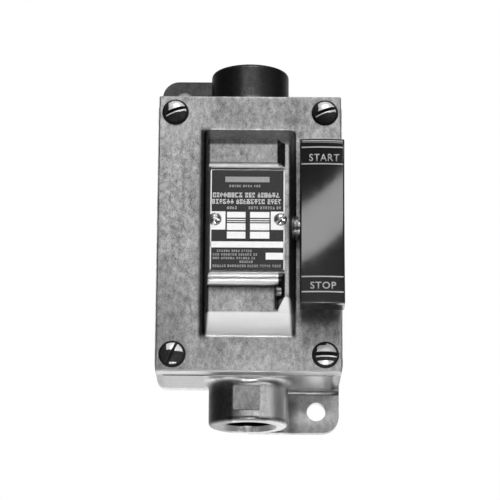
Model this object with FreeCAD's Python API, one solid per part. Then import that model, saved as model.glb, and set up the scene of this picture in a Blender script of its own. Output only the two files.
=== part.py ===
import FreeCAD, Part
import os, math
from FreeCAD import Vector as V

os.makedirs("parts", exist_ok=True)

# START/STOP rocker station: cast enclosure for wall mounting.
# X right, Z up, Y into the wall. The back plane is y = 0, the origin is the centre of the back plane.

# driving dimensions, mm
COVER_HW = 44.45          # half width of cover
COVER_HH = 68.8           # half height of cover
COVER_T = 8.0
BODY_HW = 45.1
BODY_HH = 69.2
BODY_D = 40.0             # back plane to joint
BODY_R = 5.5
JOINT_Y = -BODY_D
FACE_Y = -(BODY_D + COVER_T)
WALL_BACK = 5.0
CAV_HW = 37.5
CAV_HH = 60.5
SCREW_X, SCREW_Z = 36.5, 60.4
BOSS_R = 8.5

HUB_R = 19.3
HUB_Y = -20.0
HUB_END = 88.9
HUB_LOW_END = 90.4
BORE_R = 12.2
BORE_END = 71.0
THROAT_R = 10.2
PAD_X0, PAD_X1, PAD_Z0, PAD_Z1 = -7.4, 5.4, 73.5, 85.4

LUG_T = 5.0
LUG_HW = 44.45
LUG_END = 90.4
LUG_R = 8.5
LUG_X, LUG_Z = 33.3, 79.9
LUG_HOLE_R = 4.6

BASE_HW, BASE_HH = 21.9, 51.8      # housing on the cover face
TOP_H = 22.5
FLOOR_H = 14.0
TOP_HW = 19.0
END_SLOPE = 0.636                  # inset per mm of height at the ends
STEP_FLOOR, STEP_TOP = 30.9, 26.2
RIDGE_IN_FLOOR, RIDGE_IN_TOP = 13.2, 16.8
PLATE_X0, PLATE_X1, PLATE_HH, PLATE_T = -18.6, 16.6, 25.2, 0.8

SHAFT_Y = FACE_Y - 8.0
SHAFT_R = 4.0
ROCK_X0, ROCK_X1 = 24.0, 45.2
ROCK_HH = 40.6
ROCK_DZ = 0.8
ROCK_END_H = 21.0
ROCK_DISH = 17.6
ARM = 20.0
PIN_Y = SHAFT_Y + ARM              # -36
BLOCK_X = -3.0                     # centre plane of the contact block
TRAVEL = 2.793

def box(x0, x1, y0, y1, z0, z1):
    x0, x1 = sorted((x0, x1)); y0, y1 = sorted((y0, y1)); z0, z1 = sorted((z0, z1))
    return Part.makeBox(x1 - x0, y1 - y0, z1 - z0, V(x0, y0, z0))

def cyl(x, y, z, r, h, d):
    return Part.makeCylinder(r, h, V(x, y, z), V(*d))

def cyl_y(x, z, r, y0, y1):
    y0, y1 = sorted((y0, y1))
    return Part.makeCylinder(r, y1 - y0, V(x, y0, z), V(0, 1, 0))

def cyl_z(x, y, r, z0, z1):
    return Part.makeCylinder(r, z1 - z0, V(x, y, z0), V(0, 0, 1))

def cyl_x(y, z, r, x0, x1):
    return Part.makeCylinder(r, x1 - x0, V(x0, y, z), V(1, 0, 0))

def prism(pts, axis, a, b):
    """Extrude a polygon; axis 'x' takes (y,z) points, 'y' takes (x,z), 'z' takes (x,y)."""
    f = {"x": lambda p: V(a, p[0], p[1]), "y": lambda p: V(p[0], a, p[1]), "z": lambda p: V(p[0], p[1], a)}[axis]
    d = {"x": V(b - a, 0, 0), "y": V(0, b - a, 0), "z": V(0, 0, b - a)}[axis]
    w = Part.makePolygon([f(p) for p in pts] + [f(pts[0])])
    return Part.Face(w).extrude(d)

def round_wire(x0, x1, z0, z1, r, y):
    """Rounded rectangle in the plane of constant y; r is one radius or four (bl, br, tr, tl)."""
    rs = [r] * 4 if not isinstance(r, (tuple, list)) else r
    c = [(x0, z0, 1, 1, 180), (x1, z0, -1, 1, 270), (x1, z1, -1, -1, 0), (x0, z1, 1, -1, 90)]
    pts, edges = [], []
    for (cx, cz, sx, sz, a0), rr in zip(c, rs):
        mx, mz = cx + sx * rr, cz + sz * rr
        p = [V(mx + rr * math.cos(math.radians(a0 + t)), y, mz + rr * math.sin(math.radians(a0 + t))) for t in (0, 45, 90)]
        pts.append(p)
    for i in range(4):
        p, q = pts[i], pts[(i + 1) % 4]
        if rs[i] > 1e-6:
            edges.append(Part.Arc(p[0], p[1], p[2]).toShape())
        if (p[2] - q[0]).Length > 1e-6:
            edges.append(Part.makeLine(p[2], q[0]))
    return Part.Wire(edges)

def rprism(x0, x1, z0, z1, r, y0, y1):
    y0, y1 = sorted((y0, y1))
    return Part.Face(round_wire(x0, x1, z0, z1, r, y0)).extrude(V(0, y1 - y0, 0))

def loft(wires):
    return Part.makeLoft(wires, True, True)

def fuse(*s):
    r = s[0]
    if len(s) > 1:
        r = s[0].multiFuse(list(s[1:]))
    return r.removeSplitter()

def cut(a, *b):
    return a.cut(list(b)).removeSplitter() if len(b) > 1 else a.cut(b[0]).removeSplitter()

def try_fillet(shape, r, pick):
    es = [e for e in shape.Edges if pick(e)]
    if not es:
        print("no edges for fillet", r)
        return shape
    try:
        s = shape.makeFillet(r, es)
        if s.isValid() and s.Solids and len(s.Solids) == len(shape.Solids):
            return s
    except Exception as ex:
        print("fillet failed", r, len(es), ex)
        return shape
    print("fillet invalid", r, len(es))
    return shape

def mid(e):
    return e.valueAt((e.FirstParameter + e.LastParameter) / 2)

def save(name, shape):
    sol = shape.Solids
    assert sol, name
    for s in sol:
        assert s.isValid() and s.isClosed(), name
    out = sol[0] if len(sol) == 1 else Part.makeCompound(sol)
    out.exportStep("parts/%s.step" % name)
    bb = out.BoundBox
    print("%-24s solids %d  X %.2f..%.2f  Y %.2f..%.2f  Z %.2f..%.2f" % (name, len(sol), bb.XMin, bb.XMax, bb.YMin, bb.YMax, bb.ZMin, bb.ZMax))

def round_head_screw(x, z, y_seat, head_r, head_h, shank_r, length, slot_w, slot_d, angle):
    """Slotted round-head screw, axis along Y, head toward -Y; y_seat is the plane under the head."""
    R = (head_r ** 2 + head_h ** 2) / (2 * head_h)
    dome = Part.makeSphere(R, V(x, y_seat - head_h + R, z))
    dome = dome.common(box(x - head_r - 1, x + head_r + 1, y_seat - head_h - 1, y_seat, z - head_r - 1, z + head_r + 1))
    s = fuse(dome, cyl_y(x, z, shank_r, y_seat - 0.2, y_seat + length))
    slot = box(-head_r - 1, head_r + 1, y_seat - head_h - 1, y_seat - head_h + slot_d, -slot_w / 2, slot_w / 2)
    slot.rotate(V(0, 0, 0), V(0, 1, 0), -angle)
    slot.translate(V(x, 0, z))
    s = cut(s, slot)
    return s

# ---------------------------------------------------------------- body casting
def inside_cavity(grow=0.0):
    c = rprism(-CAV_HW - grow, CAV_HW + grow, -CAV_HH - grow, CAV_HH + grow, 6, -WALL_BACK, JOINT_Y - 1)
    bosses = []
    for sx in (-1, 1):
        for sz in (-1, 1):
            bosses.append(cyl_y(sx * SCREW_X, sz * SCREW_Z, BOSS_R, 0, JOINT_Y - 1))
    return c.cut(bosses)

def lug(sx, sz):
    """Ear in the back plane; sx, sz give its corner. The plate ends under the hub."""
    x_out, x_in = sx * LUG_HW, 0.0
    z_out, z_in = sz * LUG_END, sz * 60.0
    x0, x1 = sorted((x_out, x_in)); z0, z1 = sorted((z_out, z_in))
    rs = [0.0] * 4
    idx = {(-1, -1): 0, (1, -1): 1, (1, 1): 2, (-1, 1): 3}[(sx, sz)]
    rs[idx] = LUG_R
    return rprism(x0, x1, z0, z1, rs, -LUG_T, 0)

outer = rprism(-BODY_HW, BODY_HW, -BODY_HH, BODY_HH, BODY_R, JOINT_Y, 0)
outer = try_fillet(outer, 4.0, lambda e: abs(mid(e).y) < 1e-3)
hubs = []
for sz in (-1, 1):
    end = HUB_END if sz > 0 else HUB_LOW_END
    h = cyl_z(0, HUB_Y, HUB_R, 60, end) if sz > 0 else cyl_z(0, HUB_Y, HUB_R, -end, -60)
    h = try_fillet(h, 2.0, lambda e: abs(abs(mid(e).z) - end) < 1e-3)
    hubs.append(h)
    # concave flare where the hub grows out of the end wall
    fl = 3.4
    za = BODY_HH - 0.4
    ring = Part.makeCylinder(HUB_R + fl, fl + 0.4, V(0, HUB_Y, sz * za), V(0, 0, sz))
    ring = ring.cut(Part.makeTorus(HUB_R + fl, fl, V(0, HUB_Y, sz * (BODY_HH + fl)), V(0, 0, 1)))
    ring = ring.common(box(-40, 40, JOINT_Y + 0.25, -1.2, -200, 200))
    hubs.append(ring)
    # flat saddle that ties the hub to the back plane
    z0, z1 = sorted((sz * 62, sz * (end - 2.0)))
    saddle = box(-HUB_R + 1.5, HUB_R - 1.5, HUB_Y + 8, -0.0, z0, z1)
    hubs.append(try_fillet(saddle, 4.0, lambda e: abs(mid(e).x - sz * (HUB_R - 1.5)) < 1e-3 and abs(abs(mid(e).z) - end + 2.0) < 1e-3))
    # plain raised pad on the front of the lower hub
    z0, z1 = sorted((sz * PAD_Z0, sz * PAD_Z1))
    if sz < 0:
        hubs.append(rprism(PAD_X0, PAD_X1, z0, z1, 1.0, HUB_Y - HUB_R - 0.4, HUB_Y - 10))
body = fuse(outer, *hubs)
body = fuse(body, lug(-1, 1), lug(1, -1))
# concave blends where the lugs meet the end wall and the hub
def lug_side(m):
    return abs(m.y + LUG_T) < 0.02 and ((m.x > 0 and m.z < 0) or (m.x < 0 and m.z > 0))
def at_body(e):
    m = mid(e)
    return lug_side(m) and abs(abs(m.z) - BODY_HH) < 0.05 and abs(m.x) > HUB_R - 1.6
def at_hub(e):
    m = mid(e)
    return lug_side(m) and abs(abs(m.x) - (HUB_R - 1.5)) < 0.05 and BODY_HH < abs(m.z) < HUB_END
for pick in (at_body, at_hub):
    for web in (3.0, 2.0, 1.2):
        before = body
        body = try_fillet(body, web, pick)
        if body is not before:
            print("lug blend", pick.__name__, web)
            break
tools = [inside_cavity()]
for sz in (-1, 1):
    end = HUB_END if sz > 0 else HUB_LOW_END
    e, b = sz * (end + 1), sz * BORE_END
    z0, z1 = sorted((e, b)); tools.append(cyl_z(0, HUB_Y, BORE_R, z0, z1))
    z0, z1 = sorted((b, sz * 55)); tools.append(cyl_z(0, HUB_Y, THROAT_R, z0, z1))
    # rounded entry
    tools.append(Part.makeCone(BORE_R + 1.5, BORE_R, 3.0, V(0, HUB_Y, sz * end), V(0, 0, -sz)))
for sx, sz in ((-1, 1), (1, -1)):
    tools.append(cyl_y(sx * LUG_X, sz * LUG_Z, LUG_HOLE_R, -30, 1))
for sx in (-1, 1):
    for sz in (-1, 1):
        tools.append(cyl_y(sx * SCREW_X, sz * SCREW_Z, 3.3, -16, JOINT_Y - 1))
# bosses that carry the inner plate, ground screw boss
PLATE_SCREWS = [(BLOCK_X, 42.0), (BLOCK_X, -42.0)]
body = cut(body, *tools)
boss = []
for x, z in PLATE_SCREWS:
    boss.append(cyl_y(x, z, 5.0, -WALL_BACK - 2.5, -WALL_BACK + 0.5))
GROUND = (29.0, -45.0)
boss.append(cyl_y(GROUND[0], GROUND[1], 5.5, -WALL_BACK - 5.0, -WALL_BACK + 0.5))
body = fuse(body, *boss)
body = cut(body, *([cyl_y(x, z, 2.1, -WALL_BACK - 3, -1.6) for x, z in PLATE_SCREWS] + [cyl_y(GROUND[0], GROUND[1], 2.1, -WALL_BACK - 6, -1.6)]))
save("body_casting", body)

# ---------------------------------------------------------------- cover casting
cover = rprism(-COVER_HW, COVER_HW, -COVER_HH, COVER_HH, 0.8, FACE_Y, JOINT_Y)

def rect_wire(hw0, hw1, z0, z1, h):
    return round_wire(hw0, hw1, z0, z1, 1.6, FACE_Y - h)

def side(h):
    """Half width of the housing at height h."""
    return BASE_HW + (TOP_HW - BASE_HW) * min(1.0, (h / TOP_H) ** 0.75) if h > 0 else BASE_HW

def end(h):
    return BASE_HH - END_SLOPE * h

housing = loft([round_wire(-BASE_HW, BASE_HW, -BASE_HH, BASE_HH, 2.2, FACE_Y + 0.5),
                round_wire(-TOP_HW, TOP_HW, -end(TOP_H + 0.5), end(TOP_H + 0.5), 1.2, FACE_Y - TOP_H)])
housing = try_fillet(housing, 0.9, lambda e: abs(mid(e).y - (FACE_Y - TOP_H)) < 1e-3)
# pockets above and below the pad, open on the left and at the ends, closed by the ridge on the right
yf, yt = FACE_Y - FLOOR_H, FACE_Y - TOP_H - 3
def pocket(sz):
    k = (RIDGE_IN_TOP - RIDGE_IN_FLOOR) / (TOP_H - FLOOR_H)
    over = 3 * k
    s = (STEP_FLOOR - STEP_TOP) / (TOP_H - FLOOR_H)
    zf, zt = STEP_FLOOR, STEP_TOP - 3 * s
    ze = 60.0
    z_in = 20.0
    lo = [V(-40, yf, sz * z_in), V(RIDGE_IN_FLOOR, yf, sz * z_in), V(RIDGE_IN_FLOOR, yf, sz * ze), V(-40, yf, sz * ze)]
    hi = [V(-40, yt, sz * z_in), V(RIDGE_IN_TOP + over, yt, sz * z_in), V(RIDGE_IN_TOP + over, yt, sz * ze), V(-40, yt, sz * ze)]
    w1 = Part.makePolygon(lo + [lo[0]]); w2 = Part.makePolygon(hi + [hi[0]])
    # stepped side of the pad: short wall, ledge, rounded foot
    prof = [(FLOOR_H + 11.5, 26.0), (20.6, 26.1), (20.0, 26.4), (19.6, 27.0), (19.2, 28.2), (18.8, 28.9), (18.0, 29.6), (16.8, 30.2), (15.4, 30.6), (FLOOR_H, 30.8), (FLOOR_H, ze), (FLOOR_H + 11.5, ze)]
    return loft([w1, w2]).common(prism([(FACE_Y - h, sz * z) for h, z in prof], "x", -41, 30))
housing = cut(housing, pocket(1), pocket(-1))
cover = try_fillet(cover, 0.7, lambda e: abs(mid(e).y - FACE_Y) < 1e-3)
cover = fuse(cover, housing)
cover = try_fillet(cover, 1.0, lambda e: abs(mid(e).y - FACE_Y) < 1e-3 and abs(mid(e).x) < BASE_HW + 1 and abs(mid(e).z) < BASE_HH + 1)
# hollow inside the housing
hollow_lo = loft([round_wire(-17.4, 17.4, -46.0, 46.0, 3.0, JOINT_Y + 1), round_wire(-16.2, 16.2, -39.5, 39.5, 3.0, FACE_Y - 10.2)])
hollow_hi = loft([round_wire(-16.0, 14.6, -24.6, 24.6, 3.0, FACE_Y - 9.5), round_wire(-15.4, 14.2, -23.2, 23.2, 3.0, FACE_Y - 18.6)])
cover = cut(cover, hollow_lo, hollow_hi)
# boss for the shaft bushing inside the right wall
cover = fuse(cover, cyl_x(SHAFT_Y, 0, 9.0, 9.0, 19.0))
BUSH_R = 6.0
ctools = [cyl_x(SHAFT_Y, 0, BUSH_R, 5, 30)]
for sx in (-1, 1):
    for sz in (-1, 1):
        ctools.append(cyl_y(sx * SCREW_X, sz * SCREW_Z, 3.4, FACE_Y - 1, JOINT_Y + 1))
NP_SCREWS = [(-16.4, 0.0), (14.6, 0.0)]
for x, z in NP_SCREWS:
    ctools.append(cyl_y(x, z, 1.25, FACE_Y - TOP_H - 1, FACE_Y - TOP_H + 3.4))
# small screw across the foot of the ridge, its head in the lower pocket
PS_Y, PS_Z, PS_X = FACE_Y - 17.3, -33.6, 15.1
ctools.append(cyl_x(PS_Y, PS_Z, 2.7, 8.0, PS_X))
ctools.append(cyl_x(PS_Y, PS_Z, 1.6, 14.0, PS_X + 2.6))
cover = cut(cover, *ctools)
save("cover_casting", cover)

# ---------------------------------------------------------------- cover screws
ang = {(-1, 1): 20, (1, 1): 20, (-1, -1): 67, (1, -1): 1}
scr = [round_head_screw(sx * SCREW_X, sz * SCREW_Z, FACE_Y, 6.5, 4.0, 3.25, 20.0, 1.5, 2.0, ang[(sx, sz)]) for sx in (-1, 1) for sz in (-1, 1)]
save("cover_screws", Part.makeCompound(scr))

# ---------------------------------------------------------------- nameplate
plate = rprism(PLATE_X0, PLATE_X1, -PLATE_HH, PLATE_HH, 0.8, FACE_Y - TOP_H - PLATE_T, FACE_Y - TOP_H)
plate = cut(plate, *[cyl_y(x, z, 1.5, FACE_Y - TOP_H - 2, FACE_Y - TOP_H + 1) for x, z in NP_SCREWS])
save("nameplate", plate)
scr = [round_head_screw(x, z, FACE_Y - TOP_H - PLATE_T, 3.1, 1.9, 1.2, 3.6, 0.8, 1.0, a) for (x, z), a in zip(NP_SCREWS, (75, 40))]
save("nameplate_screws", Part.makeCompound(scr))
ph = fuse(cyl_x(PS_Y, PS_Z, 2.3, PS_X - 2.6, PS_X), cyl_x(PS_Y, PS_Z, 1.55, PS_X - 1, PS_X + 2.4))
ph = try_fillet(ph, 0.6, lambda e: abs(mid(e).x - (PS_X - 2.6)) < 1e-3)
save("pocket_screw", cut(ph, box(PS_X - 4, PS_X - 1.7, PS_Y - 0.4, PS_Y + 0.4, PS_Z - 4, PS_Z + 4)))

# ---------------------------------------------------------------- rocker handle
def dish_h(z):
    """Height of the rocker front above the cover face at z."""
    a = abs(z) / ROCK_HH
    return ROCK_DISH + (ROCK_END_H - ROCK_DISH) * a ** 2

N = 24
front = []
for i in range(N + 1):
    z = -ROCK_HH + 2 * ROCK_HH * i / N
    front.append((FACE_Y - dish_h(z), z))
# side profile of the block: arc front, end walls, arched back edge
back = [(FACE_Y - 6.1, ROCK_HH), (FACE_Y - 6.1, ROCK_HH - 6), (FACE_Y - 2.5, 14), (FACE_Y - 2.5, -14), (FACE_Y - 6.1, -ROCK_HH + 6), (FACE_Y - 6.1, -ROCK_HH)]
def side_wire(x):
    pts = [V(x, p[0], p[1]) for p in front]
    bs = Part.BSplineCurve(); bs.interpolate(pts)
    edges = [bs.toShape()]
    bp = [V(x, p[0], p[1]) for p in back]
    chain = [pts[-1]] + bp + [pts[0]]
    for a, b in zip(chain, chain[1:]):
        edges.append(Part.makeLine(a, b))
    return Part.Wire(edges)
rocker = Part.Face(side_wire(ROCK_X0)).extrude(V(ROCK_X1 - ROCK_X0, 0, 0))
rocker = try_fillet(rocker, 1.4, lambda e: abs(abs(mid(e).z) - ROCK_HH) < 0.05 and abs(mid(e).y - (FACE_Y - ROCK_END_H)) < 0.3)
rocker = try_fillet(rocker, 0.7, lambda e: mid(e).y < FACE_Y - 9 and (abs(mid(e).x - ROCK_X0) < 1e-3 or abs(mid(e).x - ROCK_X1) < 1e-3))
# hollow from behind
T = 2.2
inner = [(FACE_Y + 1, ROCK_HH - T), (FACE_Y - dish_h(ROCK_HH) + 2.6, ROCK_HH - T)]
for i in range(N + 1):
    z = (ROCK_HH - T - 1) * (1 - 2 * i / N)
    inner.append((FACE_Y - dish_h(z) + 2.4, z))
inner += [(FACE_Y - dish_h(ROCK_HH) + 2.6, -ROCK_HH + T), (FACE_Y + 1, -ROCK_HH + T)]
hollow = prism(inner, "x", ROCK_X0 + T, ROCK_X1 - T)
rocker = cut(rocker, hollow)
# the block sits a little above the shaft axis
rocker.translate(V(0, 0, ROCK_DZ))
# hub on the shaft
hub = fuse(cyl_x(SHAFT_Y, 0, 7.0, ROCK_X0, ROCK_X1 - 0.6), box(ROCK_X0 + 1, ROCK_X1 - 1, SHAFT_Y - 8.5, SHAFT_Y, -3.5, 3.5))
keep = prism([(p[0] + (0.6 if p[0] < FACE_Y - 9 else 0), p[1]) for p in front] + [(FACE_Y - 0.6, ROCK_HH), (FACE_Y - 0.6, -ROCK_HH)], "x", ROCK_X0, ROCK_X1)
hub = hub.common(keep)
rocker = fuse(rocker, hub)
rocker = cut(rocker, cyl_x(SHAFT_Y, 0, SHAFT_R + 0.05, ROCK_X0 - 1, ROCK_X1 - 3.0), cyl(33.0, SHAFT_Y, -9, 1.55, 18, (0, 0, 1)))
save("rocker_handle", rocker)

# ---------------------------------------------------------------- shaft and its fittings
shaft = cyl_x(SHAFT_Y, 0, SHAFT_R, BLOCK_X - 3.5, ROCK_X1 - 3.3)
shaft = cut(shaft, cyl(33.0, SHAFT_Y, -6, 1.55, 12, (0, 0, 1)))
ring_x = 7.4
shaft = cut(shaft, cyl_x(SHAFT_Y, 0, 6, ring_x, ring_x + 1.2).cut(cyl_x(SHAFT_Y, 0, 3.3, ring_x, ring_x + 1.2)))
shaft = cut(shaft, cyl(BLOCK_X, SHAFT_Y - 4.2, 0, 1.35, 1.2, (0, 1, 0)))
save("rocker_shaft", shaft)
save("rocker_roll_pin", cyl(33.0, SHAFT_Y, -6.9, 1.5, 13.8, (0, 0, 1)).cut(cyl(33.0, SHAFT_Y, -7, 0.8, 14, (0, 0, 1))))
bush = fuse(cyl_x(SHAFT_Y, 0, BUSH_R - 0.05, 9.2, 21.5))
save("shaft_bushing", cut(bush, cyl_x(SHAFT_Y, 0, SHAFT_R + 0.05, 0, 30)))
save("shaft_collar", cyl_x(SHAFT_Y, 0, 5.6, 21.9, 23.3).cut(cyl_x(SHAFT_Y, 0, SHAFT_R + 0.05, 20, 25)))
# retaining ring, open at one side
rr = cyl_x(SHAFT_Y, 0, 5.4, ring_x + 0.1, ring_x + 1.1).cut(cyl_x(SHAFT_Y, 0, 3.35, 0, 30))
rr = rr.cut(box(0, 30, SHAFT_Y + 1.2, SHAFT_Y + 8, -1.6, 1.6))
save("shaft_retaining_ring", rr)

# ---------------------------------------------------------------- fork arm
ax0, ax1 = BLOCK_X - 3.0, BLOCK_X + 3.0
arm = fuse(cyl_x(SHAFT_Y, 0, 7.2, ax0, ax1),
           prism([(SHAFT_Y, -5.5), (SHAFT_Y + 14, -5.0), (SHAFT_Y + 24.5, -5.0), (SHAFT_Y + 24.5, 5.0), (SHAFT_Y + 14, 5.0), (SHAFT_Y, 5.5)], "x", ax0 + 1, ax1 - 1))
slot_hw = 2.45
arm = cut(arm, cyl_x(SHAFT_Y, 0, SHAFT_R + 0.05, ax0 - 1, ax1 + 1),
          fuse(box(ax0 - 1, ax1 + 1, SHAFT_Y + 19.0, SHAFT_Y + 30, -slot_hw, slot_hw), cyl_x(SHAFT_Y + 19.0, 0, slot_hw, ax0 - 1, ax1 + 1)),
          cyl(BLOCK_X, SHAFT_Y - 9, 0, 1.5, 6, (0, 1, 0)))
save("fork_arm", arm)
ss = cyl(BLOCK_X, SHAFT_Y - 7.8, 0, 1.4, 3.6, (0, 1, 0))
ss = fuse(ss, cyl(BLOCK_X, SHAFT_Y - 4.3, 0, 1.2, 1.1, (0, 1, 0)))
ss = cut(ss, box(BLOCK_X - 0.3, BLOCK_X + 0.3, SHAFT_Y - 9, SHAFT_Y - 6.8, -2, 2))
save("fork_set_screw", ss)

# ---------------------------------------------------------------- contact block
BX0, BX1 = BLOCK_X - 24.0, BLOCK_X + 24.0
BZ = 34.0
PL_Y0, PL_Y1 = -WALL_BACK - 2.5, -WALL_BACK - 4.1        # mounting plate, -7.5 .. -9.1
BY0 = PL_Y1                                              # block sits on the plate
BY1 = -21.0                                              # contact deck
CH = 6.6                                                 # half width of the carriage channel
CAR_HW = 6.0
CAR_Y0, CAR_Y1 = -12.4, -27.1
CAR_HZ = 20.0
blk = fuse(box(BX0, BX1, BY0, BY1, -BZ, BZ), box(BX0, BX1, BY1, -27.5, BZ - 3.2, BZ), box(BX0, BX1, BY1, -27.5, -BZ, -BZ + 3.2),
           box(BLOCK_X - 14, BLOCK_X - CH, BY1, -22.9, -BZ + 3, BZ - 3).common(box(-50, 50, -50, 0, -3.2, 3.2)),
           box(BLOCK_X + CH, BLOCK_X + 14, BY1, -22.9, -BZ + 3, BZ - 3).common(box(-50, 50, -50, 0, -3.2, 3.2)))
btools = [box(BLOCK_X - CH, BLOCK_X + CH, -12.0, -40, -BZ + 3.2, BZ - 3.2)]
# barriers stay, terminal pockets are cut at the four outer corners
TX, TZ = 18.6, 15.5
for sx in (-1, 1):
    for sz in (-1, 1):
        x, z = BLOCK_X + sx * TX, sz * TZ
        btools.append(cyl_y(x, z, 1.55, BY1 - 1, -11.5))
        btools.append(cyl_y(BLOCK_X + sx * 21.0, sz * (BZ - 1.9), 1.2, -28, -17))
for z in (-26.0, 26.0):
    for sx in (-1, 1):
        btools.append(cyl_y(BLOCK_X + sx * 15.0, z, 1.35, BY0 + 1, -15.0))
blk = cut(blk, *btools)
save("contact_block_base", blk)

# mounting plate
plate = rprism(BX0 - 1.0, BX1 + 1.0, -47.5, 47.5, 3.0, PL_Y1, PL_Y0)
ptools = [cyl_y(x, z, 2.25, -1, -12) for x, z in PLATE_SCREWS]
for z in (-26.0, 26.0):
    for sx in (-1, 1):
        ptools.append(cyl_y(BLOCK_X + sx * 15.0, z, 1.55, -1, -12))
plate = cut(plate, *ptools)
save("mounting_plate", plate)
save("plate_screws", Part.makeCompound([round_head_screw(x, z, PL_Y1, 3.8, 2.4, 2.0, 6.0, 1.0, 1.1, a) for (x, z), a in zip(PLATE_SCREWS, (15, 60))]))
# screws from behind the plate into the block
bs = []
for z in (-26.0, 26.0):
    for sx in (-1, 1):
        x = BLOCK_X + sx * 15.0
        head = Part.makeCone(2.4, 1.25, 0.0001 + 1.0, V(x, PL_Y0 + 1.1, z), V(0, -1, 0))
        s = fuse(cyl_y(x, z, 2.6, PL_Y0 + 0.05, PL_Y0 + 1.4), cyl_y(x, z, 1.3, -14.4, PL_Y0 + 0.2))
        s = cut(s, box(x - 3, x + 3, PL_Y0 + 0.8, PL_Y0 + 2, z - 0.4, z + 0.4))
        bs.append(s)
save("block_screws", Part.makeCompound(bs))

# block cover strip over the channel ends
bc = []
cov = fuse(box(BX0, BX1, -29.3, -27.5, BZ - 8.0, BZ), box(BX0, BX1, -29.3, -27.5, -BZ, -BZ + 8.0),
           box(BX0, BX0 + 3.2, -29.3, -27.5, -BZ, BZ), box(BX1 - 3.2, BX1, -29.3, -27.5, -BZ, BZ),
           box(BLOCK_X - 9, BLOCK_X + 9, -29.3, -27.5, 9.0, BZ), box(BLOCK_X - 9, BLOCK_X + 9, -29.3, -27.5, -BZ, -9.0))
cov = cut(cov, *[cyl_y(BLOCK_X + sx * 21.0, sz * (BZ - 1.9), 1.3, -31, -26) for sx in (-1, 1) for sz in (-1, 1)])
save("contact_block_cover", cov)
save("block_cover_screws", Part.makeCompound([round_head_screw(BLOCK_X + sx * 21.0, sz * (BZ - 1.9), -29.3, 1.8, 1.2, 1.1, 8.0, 0.6, 0.6, 25 * sx) for sx in (-1, 1) for sz in (-1, 1)]))

# carriage with its stem and pin
car = fuse(box(BLOCK_X - CAR_HW, BLOCK_X + CAR_HW, CAR_Y1, CAR_Y0, -CAR_HZ, CAR_HZ),
           box(BLOCK_X - CAR_HW, BLOCK_X - 3.4, PIN_Y - 3.2, CAR_Y1 + 0.5, -3.6, 3.6),
           box(BLOCK_X + 3.4, BLOCK_X + CAR_HW, PIN_Y - 3.2, CAR_Y1 + 0.5, -3.6, 3.6))
# arm swings between the cheeks
car = cut(car, cyl_x(PIN_Y, 0, 2.05, BLOCK_X - 10, BLOCK_X + 10),
          box(BLOCK_X - CAR_HW - 1, BLOCK_X + CAR_HW + 1, -24.4, -22.6, 11.4, 17.6),
          box(BLOCK_X - CAR_HW - 1, BLOCK_X + CAR_HW + 1, -24.4, -22.6, -17.6, -11.4),
          cyl_z(BLOCK_X, -18.5, 4.0, CAR_HZ - 4, CAR_HZ + 1), cyl_z(BLOCK_X, -18.5, 4.0, -CAR_HZ - 1, -CAR_HZ + 4))
save("contact_carriage", car)
save("drive_pin", cyl_x(PIN_Y, 0, 2.0, BLOCK_X - CAR_HW + 0.1, BLOCK_X + CAR_HW - 0.1))

# moving bridges: flat bars through the carriage; they wipe over the fixed contacts
def bridge(z, w):
    b = box(BLOCK_X - 13.0, BLOCK_X + 13.0, -24.3, -23.1, z - w / 2, z + w / 2)
    pads = [cyl_y(BLOCK_X + sx * 10.4, z, 2.0, -23.2, -22.5) for sx in (-1, 1)]
    return fuse(b, *pads)
save("start_bridge", bridge(14.5, 5.8))
save("stop_bridge", bridge(-14.5, 5.8))

# fixed contacts: strip under the terminal screw, pad that the bridge wipes
def fixed(sx, zt, zpad, zl):
    x0, x1 = sorted((BLOCK_X + sx * 8.4, BLOCK_X + sx * 12.4))
    pad = box(x0, x1, -22.1, BY1, zpad - zl / 2, zpad + zl / 2)
    xa, xb = sorted((BLOCK_X + sx * 8.4, BLOCK_X + sx * 23.0))
    z0, z1 = sorted((zt - 3.4, zt + 3.4))
    strip = box(xa, xb, -22.1, BY1, z0, z1)
    link = box(x0, x1, -22.1, BY1, min(z0, zpad - zl / 2), max(z1, zpad + zl / 2))
    s = fuse(pad, strip, link)
    return cut(s, cyl_y(BLOCK_X + sx * TX, zt, 1.6, -25, -19))
# START is open at rest: its pads lie beyond the bridge in the -Z direction
for sx, n in ((-1, "left"), (1, "right")):
    x0, x1 = sorted((BLOCK_X + sx * 8.4, BLOCK_X + sx * 12.4))
    xa, xb = sorted((BLOCK_X + sx * 14.4, BLOCK_X + sx * 23.0))
    # strip from the terminal back to a pad below the resting bridge pad
    s = fuse(box(xa, xb, -22.1, BY1, 12.1, 18.9), box(x0, x1, -22.1, BY1, 7.6, 12.0), box(min(x0, xa), max(x1, xa), -22.1, BY1, 7.6, 10.4) if sx > 0 else box(min(x0, xb), max(x1, xb), -22.1, BY1, 7.6, 10.4),
             box(*sorted((BLOCK_X + sx * 14.4, BLOCK_X + sx * 16.6)), -22.1, BY1, 7.6, 14.0))
    s = cut(s, cyl_y(BLOCK_X + sx * TX, TZ, 1.6, -25, -19))
    save("start_contact_" + n, s)
    # STOP is closed at rest and opens when the carriage moves +Z
    s = fuse(box(xa, xb, -22.1, BY1, -18.9, -12.1), box(x0, x1, -22.1, BY1, -19.0, -14.2), box(*sorted((BLOCK_X + sx * 8.4, BLOCK_X + sx * 16.6)), -22.1, BY1, -19.0, -16.2))
    s = cut(s, cyl_y(BLOCK_X + sx * TX, -TZ, 1.6, -25, -19))
    save("stop_contact_" + n, s)
ts, tc = [], []
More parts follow.
